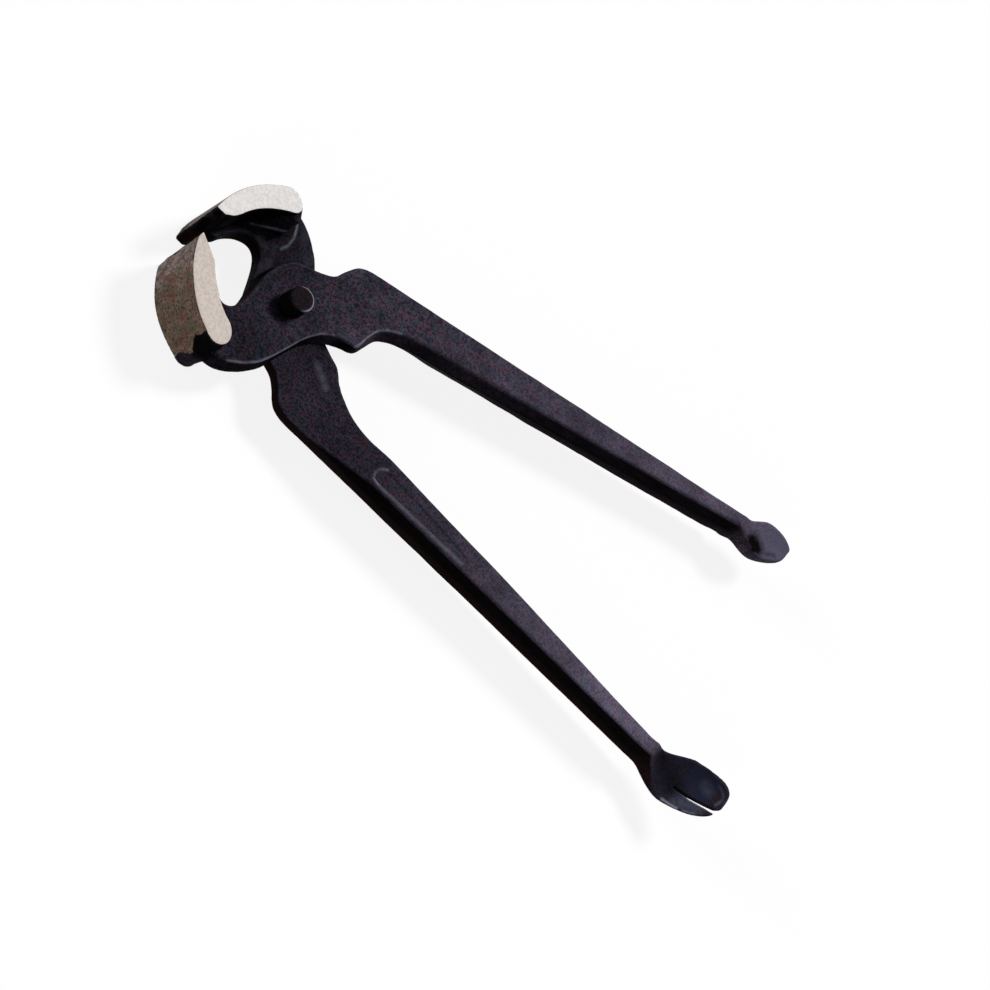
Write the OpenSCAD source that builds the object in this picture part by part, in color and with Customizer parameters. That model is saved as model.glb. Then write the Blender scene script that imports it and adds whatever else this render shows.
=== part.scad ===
// Forged pincers lying on their side: two levers, lapped at the hub and held by one rivet.
// Each lever is drawn closed and in its own frame: rivet axis at the origin, handle along +X, jaw on -Y.
// The levers are alike but for the handle's end: a slotted claw on one, a blunt leaf on the other.

/* [Opening] */
// Angle that each lever stands open from the closed place
open_deg = 7.2; // [0:0.1:20]

/* [Jaws] */
// Distance from the rivet axis to the cutting edge
edge_reach = 38; // [36:0.5:44]
// Width of the jaw, along the rivet
jaw_w = 23; // [20:0.5:30]
// Radius of the jaw's outer curve
jaw_r = 32; // [30:0.5:34]
// Thickness of the curved jaw
jaw_t = 8; // [6:0.25:9]
// Angle that the jaw's curve spans, from cutting edge to root
jaw_span_deg = 65; // [60:1:68]
// Angle of the curve that the inner bevel takes
bevel_deg = 10; // [6:1:14]
// Flat land along the cutting edge
edge_land = 0.5; // [0.3:0.1:1]
// Space left between the two cutting edges when closed
edge_gap = 0.3; // [0.2:0.05:1]
// Distance from the rivet axis to the middle of the round throat
throat_reach = 20.5; // [19.5:0.25:21]
// Radius of the round throat inside the jaws
throat_r = 9; // [7.5:0.25:9.5]
// Depth of the rib that carries the jaw past the lap face
rib_depth = 4; // [2:0.5:8]

/* [Hub] */
// Thickness of one lever at the hub
hub_t = 5.5; // [4:0.25:7]
// Space between the two lap faces
lap_gap = 0.2; // [0.1:0.05:0.4]
// Radius of the hub's round side
hub_r = 13.6; // [12:0.2:14.4]
// Radius of the round outer side of the jaw's arm
arm_r = 22.8; // [22:0.2:23.4]
// Radius of the hollow side between hub and stop
neck_r = 12.6; // [11:0.2:14]

/* [Rivet] */
// Radius of the rivet's shank
rivet_r = 4.2; // [3:0.1:5.5]
// Space round the rivet in the lever that turns on it
rivet_clearance = 0.05; // [0.02:0.01:0.1]
// Height of the rivet's stub above the front lever
stub_h = 5.6; // [2:0.2:5.8]
// Chamfer on the stub's end
stub_chamfer = 0.8; // [0.3:0.1:1.5]
// Radius of the head behind the back lever
head_r = 6.5; // [6:0.25:8]
// Height of the head behind the back lever
head_h = 2.6; // [1.5:0.1:4]

/* [Handles] */
// Distance from the rivet axis to the tips of the claw
handle_reach = 211; // [190:1:240]
// Distance from the tool's middle line to the handle's outer side
handle_side = 25.7; // [24:0.5:28]
// Distance from the rivet axis to the outer shoulder
shoulder_reach = 19.2; // [17:0.5:22]
// Distance from the rivet axis to the tip of the inner stop
stop_reach = 26.6; // [25.4:0.2:27]
// Distance from the rivet axis to where the handle is full thickness
full_reach = 54; // [48:1:62]
// Width of the handle near the hub
handle_w = 10.6; // [9:0.2:11.4]
// Width of the handle at the claw
handle_end_w = 4.4; // [4:0.25:7]
// Thickness of the handle
handle_t = 11; // [9:0.25:12]
// Rounding of the handle's edges
handle_round = 1.3; // [0.6:0.1:1.8]

/* [Claw] */
// Length of the claw
claw_len = 28; // [24:0.5:34]
// Width of the claw
claw_w = 15; // [13:0.5:16]
// Thickness of the claw's plate
claw_t = 2.2; // [2:0.1:3]
// Slope of the claw where it leaves the handle
claw_slope_deg = 12; // [8:1:15]
// Radius of the claw's bend along the handle
claw_bend_r = 63; // [58:1:80]
// Radius of the dish across the claw
claw_dish_r = 15.6; // [14:0.2:20]
// Turn of the claw about the handle's length
claw_turn_deg = 20; // [10:1:22]
// Length of the slot in the claw
slot_len = 16; // [12:0.5:19]
// Width of the slot at the claw's tips
slot_mouth = 3; // [2:0.1:3.6]
// Width of the slot at its closed end
slot_root = 0.9; // [0.5:0.1:1.6]

/* [Leaf] */
// Length of the leaf at the end of the front handle
leaf_len = 21; // [18:0.5:26]
// Width of the leaf
leaf_w = 11.6; // [10:0.4:14]
// Thickness of the leaf at its tip
leaf_tip_t = 3.6; // [2:0.2:6]

/* [Plate] */
// Distance from the rivet axis to the start of the sunk plate on the handle
plate_reach = 54; // [50:1:60]
// Length of the sunk plate
plate_len = 40; // [20:1:60]
// Width of the sunk plate
plate_w = 5.2; // [3:0.2:6]
// Depth of the sunk plate
plate_depth = 0.4; // [0.2:0.1:0.8]

/* [Hidden] */
steel_black = "#2b2930";
rivet_black = "#34323a";
$fn = 96;
arc_step = 5;
// Middle of the jaw's curve, on the tool's middle line
jaw_x = jaw_r - edge_reach;
jaw_in_r = jaw_r - jaw_t;
throat_y = -2.2;
// Middle of the hub's round side
hub_x = 1.5;
hub_y = 1.2;
// Hollow waist between the hub's top and the outer shoulder
waist_r = 14;
waist_x = 1.4;
waist_y = 28.9;
waist_end_deg = -42;
shoulder_round = 4;
// Middle of the arm's round outer side
arm_x = -20.4;
arm_y = 15.1 - arm_r;
// Rounded toe where the arm's outer side meets the jaw's root
toe_deg = 66;
toe_round = 4;
toe_middle = [arm_x, arm_y] + (arm_r - toe_round) * [cos(toe_deg), -sin(toe_deg)];
// Rounding of the jaw's root, outside and inside
root_round = 3.6;
root_inner_round = 2.4;
// Share of the head's radius that its flat end keeps
head_crown = 0.75;
// Middle of the hollow neck, with its top just under the tool's middle line
neck_x = 20;
neck_y = -neck_r - 0.4;
// Inner side of the handle, from the foot of the stop to the claw
inner_start = handle_side - handle_w;
inner_end = handle_side - handle_end_w;
inner_slope = (inner_end - inner_start) / (handle_reach - claw_len - full_reach);
// The lap joins the handle over this length
join = 8;
// The lap runs out to full thickness over this ramp
ramp_reach = 29;
foot_reach = 38;
claw_start = handle_reach - claw_len;
claw_y = handle_side - handle_end_w / 2 + 0.6;
leaf_y = claw_y - 0.9;
// The claw bends away from the lap's outer side, and is turned back to run straight in plan
claw_top = handle_t / 2;
claw_yaw_deg = claw_turn_deg * 2 / 3;
// The slot runs this far to the outer side of the claw's middle
slot_shift = 1.2;

function arc(c, r, a0, a1) =
    let (n = max(2, ceil(abs(a1 - a0) / arc_step)))
    [for (i = [0:n]) let (a = a0 + (a1 - a0) * i / n) c + r * [cos(a), sin(a)]];

// Half width of a handle's end at the share u of its length: it swells, then rounds off
function swell(u, w0, w1, peak, e) =
    u < peak
    ? let (t = u / peak) w0 + (w1 - w0) * t * t * (3 - 2 * t)
    : w1 * pow(max(0, 1 - pow((u - peak) / (1 - peak), e)), 1 / e);

// Shares of the length, closer together towards the tip
function shares(n) = [for (i = [0:n]) sin(90 * i / n)];

function end_points(len, w, y, peak, e) =
    let (us = shares(18), x0 = claw_start)
    concat(
        [for (i = [0:18]) [x0 + len * us[i], y + swell(us[i], handle_end_w / 2, w / 2, peak, e)]],
        [for (i = [17:-1:0]) [x0 + len * us[i], y - swell(us[i], handle_end_w / 2, w / 2, peak, e)]]
    );

claw_points = end_points(claw_len, claw_w, claw_y, 0.5, 2.2);
leaf_points = end_points(leaf_len, leaf_w, leaf_y, 0.44, 1.7);
// Middle of the tool's length and breadth, as it lies open
end_x = max([for (p = claw_points) p[0] * cos(open_deg) - p[1] * sin(open_deg)]);
middle_x = (end_x - edge_reach * cos(open_deg)) / 2;
leaf_side = max([for (p = leaf_points) p[0] * sin(open_deg) + p[1] * cos(open_deg)]);
claw_side = max([for (p = claw_points) p[0] * sin(open_deg) + p[1] * cos(open_deg)]);
middle_y = (leaf_side - claw_side) / 2;

// Outline of the flat part: the arm behind the jaw, hub, shoulder and stop
module lap_outline() {
    polygon(concat(
        arc([jaw_x, 0], jaw_r - jaw_t / 3, 180 + jaw_span_deg - 4, 180 + bevel_deg + 2),
        arc([-throat_reach, throat_y], throat_r, 188, 322),
        arc([hub_x, hub_y], hub_r, 194, 88),
        arc([waist_x, waist_y], waist_r, -80, waist_end_deg),
        arc([shoulder_reach, handle_side - shoulder_round], shoulder_round, 138, 90),
        [[full_reach + join, handle_side]],
        [[full_reach + join, inner_start + inner_slope * join]],
        [[full_reach, inner_start], [foot_reach + 5, inner_start - 1.4]],
        [[foot_reach, 12.4], [33.4, 10.6], [30, 7], [28.2, 3.6]],
        [[stop_reach, 0.2], [stop_reach - 1.6, -0.5]],
        arc([neck_x, neck_y], neck_r, 86, 148),
        arc([arm_x, arm_y], arm_r, -30, -toe_deg),
        arc(toe_middle, toe_round, -toe_deg, -130)
    ));
}

// The jaw's root is rounded: angles where its two roundings leave the blade
root_out_deg = 180 + jaw_span_deg - asin(root_round / (jaw_r - root_round));
root_in_deg = 180 + jaw_span_deg - asin(root_inner_round / (jaw_in_r + root_inner_round));
function root_at(r, a) = [jaw_x + r * cos(a), r * sin(a)];

// Section of the jaw: an arched blade, bevelled inside towards its cutting edge
module jaw_outline() {
    polygon(concat(
        [[jaw_x - sqrt(pow(jaw_r, 2) - pow(edge_gap / 2, 2)), -edge_gap / 2]],
        arc([jaw_x, 0], jaw_r, 182, root_out_deg),
        arc(root_at(jaw_r - root_round, root_out_deg), root_round, root_out_deg, root_out_deg + 80),
        arc(root_at(jaw_in_r + root_inner_round, root_in_deg), root_inner_round, root_in_deg + 100, root_in_deg + 180),
        arc([jaw_x, 0], jaw_in_r, root_in_deg, 180 + bevel_deg),
        [[jaw_x - jaw_r + edge_land, -edge_gap / 2]]
    ));
}

// Rib under the jaw, on the side that laps over the other lever
module rib_outline() {
    intersection() {
        lap_outline();
        difference() {
            translate([jaw_x, 0]) circle(r = jaw_r - 1);
            translate([jaw_x, 0]) circle(r = jaw_in_r - 4);
            translate([-edge_reach, 0]) square([2 * edge_reach, edge_reach]);
            translate([-jaw_r / 3, -edge_reach]) square([edge_reach, edge_reach]);
        }
    }
}

// Thickness of the handle seen from the side, with the ramp from the lap
module side_profile() {
    polygon([
        [ramp_reach, lap_gap / 2],
        [full_reach, -handle_t / 2],
        [full_reach + join, -handle_t / 2],
        [full_reach + join, handle_t / 2],
        [ramp_reach, hub_t]
    ]);
}

module ramp() {
    intersection() {
        translate([0, 0, -handle_t]) linear_extrude(2 * handle_t) lap_outline();
        translate([0, 2 * handle_side, 0]) rotate([90, 0, 0])
            linear_extrude(3 * handle_side) side_profile();
    }
}

// One end of the tapered handle, between its inner and outer side
module handle_end(x, inner) {
    for (y = [inner + handle_round, handle_side - handle_round])
        for (z = [-1, 1])
            translate([x, y, z * (handle_t / 2 - handle_round)])
                sphere(r = handle_round, $fn = 24);
}

module handle() {
    hull() {
        handle_end(full_reach + 2, inner_start + 2 * inner_slope);
        handle_end(claw_start + 2, inner_end);
    }
}

// Plan of the claw: a rounded spade with a tapering slot between its tips
module claw_outline() {
    difference() {
        polygon(claw_points);
        translate([handle_reach, claw_y + slot_shift]) polygon([
            [-slot_len, -slot_root / 2],
            [1, -slot_mouth / 2],
            [1, slot_mouth / 2],
            [-slot_len, slot_root / 2]
        ]);
    }
}

// The dished plate that the claw is cut from, bent round an axis under the handle
module claw_dish() {
    translate([claw_start, claw_y, claw_top]) rotate([claw_turn_deg, 0, -claw_yaw_deg])
        translate([-claw_bend_r * sin(claw_slope_deg), 0, -claw_bend_r * cos(claw_slope_deg)])
            rotate([90, 0, 0]) rotate_extrude(angle = 180, $fn = 180)
                translate([claw_bend_r - claw_dish_r, 0]) intersection() {
                    difference() {
                        circle(r = claw_dish_r);
                        circle(r = claw_dish_r - claw_t);
                    }
                    translate([claw_dish_r / 2, -claw_dish_r]) square(2 * claw_dish_r);
                }
}

// Wedge that fills the root of the claw under the end of the handle
module claw_root() {
    translate([claw_start, claw_y + handle_end_w / 2, 0]) rotate([90, 0, 0])
        linear_extrude(handle_end_w) polygon([
            [-2, handle_t / 2 - 1.6],
            [1, handle_t / 2 - 1.6],
            [claw_len * 0.4, claw_top - 4.6],
            [claw_len * 0.4, claw_top - 6],
            [4, -handle_t / 2 + 1.2],
            [-2, -handle_t / 2 + 0.6]
        ]);
}

module claw() {
    intersection() {
        translate([0, 0, -claw_bend_r]) linear_extrude(2 * claw_bend_r) claw_outline();
        claw_dish();
    }
    claw_root();
}

// Blunt leaf: its top stays level with the handle and its underside rises to the tip
module leaf() {
    intersection() {
        translate([0, 0, -handle_t]) linear_extrude(2 * handle_t) polygon(leaf_points);
        translate([claw_start, leaf_y + leaf_w, 0]) rotate([90, 0, 0])
            linear_extrude(2 * leaf_w) polygon([
                [-1, handle_t / 2 - 0.4],
                [leaf_len * 0.55, handle_t / 2 - 0.6],
                [leaf_len + 1, handle_t / 2 - 2],
                [leaf_len + 1, handle_t / 2 - 2 - leaf_tip_t],
                [leaf_len * 0.55, -handle_t / 2 + 2],
                [leaf_len * 0.2, -handle_t / 2 + 0.4],
                [-1, -handle_t / 2 + 0.4]
            ]);
    }
}

module sunk_plate() {
    translate([plate_reach, (inner_start + handle_side) / 2 + 0.6 - plate_w / 2, -handle_t / 2 - 1])
        cube([plate_len, plate_w, plate_depth + 1]);
}

// One lever, closed, in its own frame
module lever(bore_r, clawed) {
    difference() {
        union() {
            translate([0, 0, lap_gap / 2]) linear_extrude(hub_t - lap_gap / 2) lap_outline();
            translate([0, 0, -rib_depth]) linear_extrude(rib_depth + hub_t / 2) rib_outline();
            translate([0, 0, -jaw_w / 2]) linear_extrude(jaw_w) jaw_outline();
            ramp();
            handle();
            if (clawed) claw();
            else leaf();
        }
        translate([0, 0, -hub_t]) cylinder(r = bore_r, h = 3 * hub_t);
        sunk_plate();
    }
}

// The tool lies on the ends of its jaws, with the middle of its length and breadth over the origin
module laid() {
    translate([-middle_x, -middle_y, jaw_w / 2]) children();
}

module front_lever() {
    color(steel_black) laid() rotate([0, 0, open_deg]) lever(rivet_r + rivet_clearance, false);
}

module back_lever() {
    color(steel_black) laid() rotate([180, 0, -open_deg]) lever(rivet_r, true);
}

module pivot_rivet() {
    color(rivet_black) laid() {
        translate([0, 0, -hub_t]) cylinder(r = rivet_r, h = 2 * hub_t + stub_h - stub_chamfer);
        translate([0, 0, hub_t + stub_h - stub_chamfer])
            cylinder(r1 = rivet_r, r2 = rivet_r - stub_chamfer, h = stub_chamfer);
        translate([0, 0, -hub_t - head_h]) cylinder(r1 = head_r * head_crown, r2 = head_r, h = head_h);
    }
}

front_lever();
back_lever();
pivot_rivet();
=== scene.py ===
import math

import bpy
import numpy as np
from mathutils import Matrix, Vector


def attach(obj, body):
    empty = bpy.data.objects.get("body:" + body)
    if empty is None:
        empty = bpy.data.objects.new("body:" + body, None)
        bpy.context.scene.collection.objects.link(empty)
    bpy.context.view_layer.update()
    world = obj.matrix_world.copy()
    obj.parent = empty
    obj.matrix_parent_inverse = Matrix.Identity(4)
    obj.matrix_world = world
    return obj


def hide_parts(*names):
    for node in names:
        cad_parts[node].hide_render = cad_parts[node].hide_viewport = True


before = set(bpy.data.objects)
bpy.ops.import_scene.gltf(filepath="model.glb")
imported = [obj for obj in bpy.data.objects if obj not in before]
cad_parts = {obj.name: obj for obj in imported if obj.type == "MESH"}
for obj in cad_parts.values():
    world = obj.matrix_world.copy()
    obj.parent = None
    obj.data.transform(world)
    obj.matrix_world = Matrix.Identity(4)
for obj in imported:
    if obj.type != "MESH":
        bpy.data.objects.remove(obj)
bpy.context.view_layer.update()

# ---------------------------------------------------------------- sizes, in mm
MM = 0.001
OPEN = math.radians(7.2)  # each lever's turn from closed to the rest pose
PIVOT = np.array([-84.3279, 1.68851, 11.5])
RIVET_R = 4.2
HALF_W = 11.5  # half the jaws' width
LAP_T = 5.5  # from the middle plane to the outer face of a lap and its handle
HALF_H = 5.5  # from the middle plane to the handle's other face
LAP_GAP = 0.1  # from the middle plane to a lap's mating face
RAMP_START, RAMP_END = 28.0, 54.5  # where the lap thickens into the handle
END_START = 183.0  # where the handle turns into the claw or the leaf

# Grid on which the levers are formed: fine at both ends, coarse along the handle
FINE, COARSE = 0.355, 0.9
GRID_X = (-40.6, 62, 179, 213.8)
GRID_Y = (-34.8, 33.8)
GRID_Z = (-12.75, 12.8)

# Lever outlines. Each lever is drawn closed, pivot at the origin, handle along +X.
# At the lap's outer face
THROAT = [(-33.5, -4), (-31, -2), (-29.6, -2.5), (-28.2, -5.2), (-26.1, -7.8), (-23.8, -9.7), (-21.2, -10.9),
          (-18.6, -10.9), (-16.5, -9.5), (-15.0, -6.9), (-13.7, -3.5), (-12.6, 0), (-11.4, 3.9), (-9.8, 7.3),
          (-7.7, 10.5), (-5.0, 13.1), (-1.3, 14.8), (3.1, 15.4), (6.9, 16.2), (10.4, 17.6), (13.1, 20.4),
          (15.0, 23.0), (16.9, 24.85), (19.3, 25.9), (22.3, 26.35), (27, 26.4), (40, 26.35), (60, 26.25),
          (120, 26.25), (160, 26.15), (196, 25.9), (196, 21.7)]
TOP_IN = [(185, 21.7), (170, 20.95), (125, 18.4), (90, 16.4), (60, 14.7), (50.9, 14.3), (42, 13.5),
          (38.2, 12.7), (33.1, 11.0), (29.8, 8.4), (27.4, 4.4), (26.4, 1.3), (25.3, -0.5), (21.1, -0.5),
          (16.8, -0.9), (12.5, -2.9), (8.1, -7.4), (4.3, -12.9), (0.4, -18.4), (-3.3, -22.9), (-7.8, -26.1),
          (-12.6, -28.2), (-16.5, -28.9), (-21, -27.5), (-27.5, -19.5), (-31.5, -13)]
# At the middle plane. Between MID_IN and MID_END comes each lever's own tooth.
MID_THROAT = [(-33.5, -4), (-31, -2), (-29.6, -2.9), (-28.0, -6.3), (-26.0, -9.0), (-23.8, -10.8),
              (-21.2, -11.8), (-18.6, -11.5), (-16.6, -9.8), (-15.2, -7.1), (-14.4, -3.6), (-13.5, 0),
              (-12.2, 3.9), (-10.6, 7.4), (-8.3, 10.8), (-5.3, 13.5), (-1.3, 15.2), (3.1, 15.8),
              (6.9, 16.7), (10.2, 18.2), (12.8, 20.8), (14.7, 23.4), (16.5, 25.3), (19.0, 26.5),
              (22.3, 26.95), (27, 27.0), (40, 26.9), (60, 26.85), (120, 26.7), (160, 26.6), (196, 26.3),
              (196, 21.2)]
MID_IN = [(185, 20.9), (170, 19.85), (125, 17.2), (92, 15.1), (60.5, 12.9), (49.3, 12.6), (43, 11.9),
          (37, 10.4), (32.8, 8.3)]
MID_END = [(17.1, -2.7), (12.5, -5.2), (8.0, -9.4), (3.6, -15.5), (-0.5, -21.8), (-3.6, -24.9), (-7.2, -27.8),
           (-11.6, -30.0), (-15.9, -30.9), (-19, -30.2), (-22, -27.2), (-27.5, -19.5), (-31.5, -13)]
# At the handle's other face
LOW_THROAT = [(22, 26.0), (30, 26.2), (60, 26.2), (120, 26.1), (196, 25.9)]
LOW_IN = [(196, 22.5), (182, 21.8), (176, 21.0), (166, 20.2), (110, 17.4), (81, 16.3), (63.3, 15.45),
          (52.5, 14.8), (44.3, 14.4), (38, 13.1), (33, 9.9), (29, 6.0), (22, 2), (14, 2), (12, 12), (15, 22)]
# Wall under the jaw's root, where it meets the middle plane
RIB = [(-37.5, -4), (-37.4, -10), (-34, -16), (-29, -22), (-24, -26.5), (-19.5, -29.3), (-15.6, -30.0),
       (-13.4, -28.9), (-11.8, -26.2), (-10.9, -23.1), (-11.1, -19.0), (-12.5, -16.2), (-17.5, -12.6),
       (-22.0, -13.0), (-25.6, -14.6), (-28.6, -10.2), (-31, -5)]
# Web between the blade and the arm, and the sunk plate on the back handle
WEB = [(-27.5, -13.2), (-23.2, -14.6), (-15.2, -17.6), (-14.4, -21.5), (-16.5, -26), (-24, -22)]
PLATE = [(53.0, 20.6), (52.6, 22.8), (53.6, 24.4), (56, 24.6), (72, 24.1), (88, 23.9), (93, 23.7),
         (94.2, 22.8), (93, 21.8), (88, 21.2), (72, 19.9), (56, 19.2), (54.2, 19.4)]
PLATE_DEPTH = 0.45
# Heights: middle and half height, and the depth at which the wall has become the jaw's own surface
RIB_MIDDLE, RIB_HALF, RIB_FADE = -3.2, 4.6, 7.5
WEB_MIDDLE, WEB_HALF = -4, 6
JAW_END = -8  # x at which a lever's ground faces end
FAR_AWAY = 400.0  # added to a field where its face does not cut
LUMPS = ((0.09, 6.5, 0), (0.04, 2.3, 10))  # unevenness of the forging: height, size, seed

# What differs between the two forgings:
# rise, low     how far the throat side and the low inner side of the handle are moved along x
# dip           how much deeper the throat is at DIP_X
# blade         middle of the jaw's arch; outer and inner are its radii, border and root are in degrees on it
# flare, tilt   outer radius gained at the near end, towards the root and everywhere
# proud         how far the forged skin would stand above the ground outer face
# thin          how much larger the hollow is at the cutting edge, fading to none at thin_end degrees
# root          where the jaw ends, its turn across the width, and its rounding inside and outside
# edge, slant   height of the cutting edge and its slope across the width; land is its breadth,
#               bulge its crown and join its rounding
# border        where the ground face ends, by z
# rubs, soots   lines rubbed bright, partly wear and partly painted highlights and sheen; and lines and patches of painted shade, dark where shadows fall and in shaded hollows: width, strength, then points
FRONT = dict(
    clawed=False, seed=3, bore=4.25,
    rise=[(40, 0), (60, 0.1), (120, 0.08), (150, 0)],
    low=[(35, 0), (60, -0.27), (100, -0.55), (115, -0.38), (150, -0.28), (172, -0.45), (182, 0)],
    dip=1.0, tooth=[(29.9, 4.3), (27.6, 0.6), (25.4, -0.7), (21.5, -1.3)],
    blade=(-5.9, -0.35), outer=32.5, inner=24.1, flare=0.7, tilt=0.2, proud=0.25, thin=1.0, thin_end=215,
    root=246.5, root_turn=0.036, root_in=4.5, root_out=4.6,
    edge=0.23, slant=0.158, land=0.7, bulge=0, join=0.45,
    border=[(-11.5, 238), (-9.1, 237), (-6, 238), (-3.4, 241), (-0.9, 240), (1.1, 237), (4.6, 234),
            (8.8, 235), (11.5, 235)],
    # Painted highlights along the lap's lower edge and the notch, and at the fillet under the jaw's end face
    rubs_and_highlights=[
        (0.8, 0.6, [(-13, -28.6, 5.2), (-7.8, -26.3, 5.2), (-3.3, -23.1, 5.2), (0.4, -18.6, 5.2),
                    (4.3, -13.1, 5.2), (8.1, -7.6, 5.2), (12.5, -3.1, 5.2), (16.8, -1.1, 5.2)]),
        (0.8, 0.6, [(24.8, -0.4, 5.2), (27.6, 4.6, 5.2), (30, 8.5, 5.2), (33.1, 11.0, 5.2),
                    (38.2, 12.8, 5.2)]),
        (1.2, 0.5, [(-16.6, -29.0, 8), (-15.6, -26.8, 7.5), (-15.0, -25.0, 7)])],
    # Painted shade: the rivet's shadow on the lap, and the shaded hollow and dark line where the leaf meets
    # the handle
    painted_shades=[
        (6.4, 1.6, [(-0.8, -1.2, 5.5), (-1.8, -2.6, 5.5)]),
        (5.2, 1.5, [(188.3, 20.3, 3.2), (190.4, 19.2, 3.0)]),
        (1.6, 0.6, [(190.8, 19.5, 3.2), (193.9, 18.7, 3.2), (198.2, 20.1, 3.3)])])
BACK = dict(
    clawed=True, seed=4, bore=4.15,
    rise=[(15, 0.15), (60, 0.15), (100, -0.1), (160, -0.05)],
    low=[(20, 0), (33, 0.4), (38, 0.7), (44, 0.7), (52, 0.15), (60, -0.15), (72, 0), (100, -0.3), (150, -0.3),
         (166, 0), (174, -0.25), (182, -0.5), (196, -0.5)],
    dip=0.0, tooth=[(29.6, 5.8), (26.8, 2.5), (24.6, 0.6), (21.2, -0.8)],
    blade=(-5.85, -0.2), outer=32.15, inner=23.9, flare=0, tilt=0, proud=0.4, thin=1.7, thin_end=235,
    root=246, root_turn=0.05, root_in=2.2, root_out=7.4,
    edge=-0.22, slant=0.16, land=4.0, bulge=0.8, join=1.2,
    border=[(-11.5, 240), (11.5, 240)],
    # Painted highlights on the web, the root fillet, the plate's rim and band and the claw's rims; a painted
    # sheen on the neck; painted reflections in the claw's bowl; a worn band at the claw's tip
    rubs_and_highlights=[
        (0.6, 0.5, [(-25, -14.4, 0), (-15, -18, -6)]),
        (0.9, 0.6, [(-13.6, -28.5, -0.5), (-11.9, -26, -0.5), (-10.7, -22.5, -0.5), (-10.7, -18.8, -0.5),
                    (-11.9, -16, -0.5)]),
        (2.2, 0.13, [(19.2, 5.3, 0), (25.5, 9.3, 0)]),
        (0.8, 0.5, [(55.0, 19.0, -5.5), (53.2, 20.2, -5.5), (52.3, 22.4, -5.5), (53.0, 24.4, -5.5),
                    (55.2, 25.0, -5.5)]),
        (1.2, 0.2, [(55, 25.2, -5.5), (92, 24.6, -5.5)]),
        (0.9, 0.9, [(196.3, 31.2, 0.9), (198, 31.4, 0.2), (201.3, 31.3, -1.2)]),
        (0.8, 0.5, [(203.4, 31.0, -2.4), (206.3, 30.2, -4.1)]),
        (3.4, 0.2, [(200, 28.8, -0.9), (207, 28.4, -4.9)]),
        (0.7, 0.6, [(198, 26.5, -1.7), (203, 26.9, -3.3), (207, 27.1, -5.6)]),
        (3.2, 0.12, [(204, 20.6, -6.3), (206, 22.0, -6.9)]),
        (0.9, 0.4, [(207.2, 18.7, -9), (209.3, 20.0, -9.5), (210.6, 22.0, -9.3), (209.8, 24.4, -8)])],
    # Painted shade: in the throat, at the claw's root, and low down at the jaw's tip
    painted_shades=[
        (5, 0.6, [(-24, -9, 0), (-18, -10, 0)]),
        (6.5, 0.8, [(187, 23, -3), (197, 25, -1)]),
        (4.5, 1.6, [(-38, -1, 11.5), (-38, -1.5, 7.5)])])
DIP_X, DIP_WIDTH = -21, 4

# Plans of the handles' ends: half width at the neck and at the peak, which comes at that share of the length.
# middle and neck_middle are y. blunt and lean are for the inner and the outer side.
CLAW = dict(length=28.9, neck=2.45, half=7.95, peak=0.497, blunt=(2.9, 2.3), middle=24.1, neck_middle=23.1,
            drift=0, lean=(0, 0.05))
LEAF = dict(length=21.5, neck=2.5, half=6.6, peak=0.44, blunt=(1.78, 1.7), middle=22.25, neck_middle=23.5,
            drift=0.06, lean=(0.1, 0.0))
FADE = 0.22  # share of an end's length over which the handle's thickness dies away
BLEND_START, BLEND_END = 173, 188  # where the handle's form gives way to the end's


# ---------------------------------------------------------------- fields and outlines
def smooth(points, n=5):
    """Catmull-Rom curve through the points."""
    p = np.array(points, float)
    m = len(p)
    out = []
    for i in range(m):
        a, b, c, d = p[i - 1], p[i], p[(i + 1) % m], p[(i + 2) % m]
        for j in range(n):
            t = j / n
            out.append(0.5 * ((2 * b) + (c - a) * t + (2 * a - 5 * b + 4 * c - d) * t * t
                              + (3 * b - a - 3 * c + d) * t ** 3))
    return np.array(out)


def inside_distance(poly, x, y):
    """Signed distance to a closed outline over the grid x by y, below zero inside it."""
    gx, gy = np.meshgrid(x, y, indexing="ij")
    best = np.full(gx.shape, 1e9)
    inner = np.zeros(gx.shape, bool)
    for (ax, ay), (bx, by) in zip(poly, np.roll(poly, -1, axis=0)):
        ex, ey = bx - ax, by - ay
        wx, wy = gx - ax, gy - ay
        t = np.clip((wx * ex + wy * ey) / max(ex * ex + ey * ey, 1e-9), 0, 1)
        best = np.minimum(best, (wx - t * ex) ** 2 + (wy - t * ey) ** 2)
        if ay != by:
            inner ^= ((ay > gy) != (by > gy)) & (gx < (bx - ax) * (gy - ay) / (by - ay) + ax)
    return np.where(inner, -1, 1) * np.sqrt(best)


def both(a, b, r):
    """Intersection with its edge rounded to radius r."""
    return np.minimum(np.maximum(a, b), -r) + np.hypot(np.maximum(a + r, 0), np.maximum(b + r, 0))


def either(a, b, k):
    """Union with a hollow fillet of about k."""
    h = np.maximum(k - np.abs(a - b), 0) / k
    return np.minimum(a, b) - h * h * k / 4


def step(v, lo, hi):
    """Smooth rise from 0 at lo to 1 at hi."""
    t = np.clip((v - lo) / (hi - lo), 0, 1)
    return t * t * (3 - 2 * t)


def lumps(x, y, z, size, seed):
    """Smooth noise from -1 to 1 over the grid, with lumps of about that size."""
    rng = np.random.RandomState(seed)
    parts, shape = [], []
    for v in (x, y, z):
        u = (v - v[0]) / size
        i = np.floor(u).astype(int)
        t = u - i
        t = t * t * (3 - 2 * t)
        w = np.zeros((len(v), i[-1] + 2))
        w[np.arange(len(v)), i] = 1 - t
        w[np.arange(len(v)), i + 1] = t
        parts.append(w)
        shape.append(i[-1] + 2)
    values = rng.uniform(-1, 1, shape)
    values = np.tensordot(parts[0], values, (1, 0))
    values = np.einsum("yb,xbc->xyc", parts[1], values)
    return np.einsum("zc,xyc->xyz", parts[2], values).astype(np.float32)


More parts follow.
